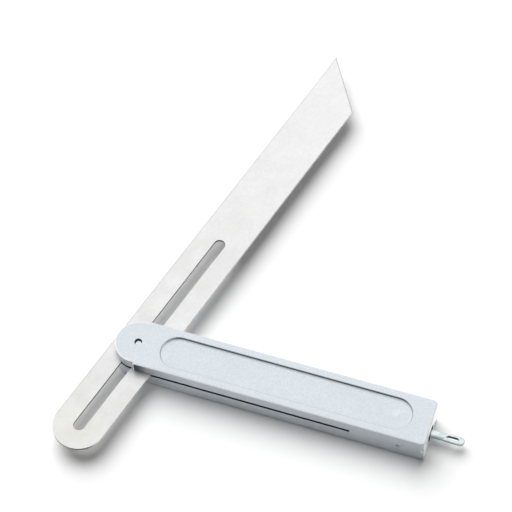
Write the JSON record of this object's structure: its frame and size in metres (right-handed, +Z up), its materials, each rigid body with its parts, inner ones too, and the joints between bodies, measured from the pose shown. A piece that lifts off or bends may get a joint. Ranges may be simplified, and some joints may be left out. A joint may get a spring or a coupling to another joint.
{
  "type": "sliding bevel",
  "caption": "Sliding bevel: slotted steel blade with a pointed end turns and slides in a slit metal handle and is clamped by turning an eyed screw at the butt.",
  "frame": {"origin": "centre of the bounding box, on the plane that the handle lies on", "axes": "+X runs along the handle from the pivot to the butt, +Y is the way the pointed end of the blade leans, across the handle, and +Z is up through the handle, square to the blade"},
  "size_m": [0.145, 0.1998, 0.012],
  "materials": {
    "casting": "fine-grained satin die casting",
    "stainless": "satin rolled stainless steel",
    "guide_brass": "machined",
    "stud_steel": "turned",
    "rod_steel": "turned and lightly oiled",
    "pin_steel": "ground",
    "bush_brass": "machined",
    "plating": "bright zinc plating"
  },
  "bodies": {
    "handle": {"handle_body": "casting", "clamp_stud": "stud_steel", "rod_pin": "pin_steel", "thread_bush": "bush_brass"},
    "guide": {"guide_block": "guide_brass"},
    "blade": {"blade": "stainless"},
    "wedge": {"wedge_rod": "rod_steel"},
    "lock": {"lock_screw": "plating"}
  },
  "joints": [
    {"name": "blade_turn", "type": "hinge", "parent": "handle", "child": "guide", "pos_m": [-0.05296, -0.05312, 0.00685], "axis": [0, 0, 1], "range_deg": [-60, 269]},
    {"name": "blade_slide", "type": "slide", "parent": "guide", "child": "blade", "axis": [0.2516, 0.9678, 0], "range_m": [-0.0524, 0.0366]},
    {"name": "wedge_travel", "type": "slide", "parent": "handle", "child": "wedge", "axis": [1, 0, 0], "range_m": [0, 0.00025]},
    {"name": "lock_turn", "type": "hinge", "parent": "wedge", "child": "lock", "pos_m": [0.05984, -0.05312, 0.0041], "axis": [1, 0, 0], "range_deg": [0, 180]}
  ],
  "couplings": [
    {"joint": "lock_turn", "follows": "wedge_travel", "rad_per_m": 12566}
  ]
}
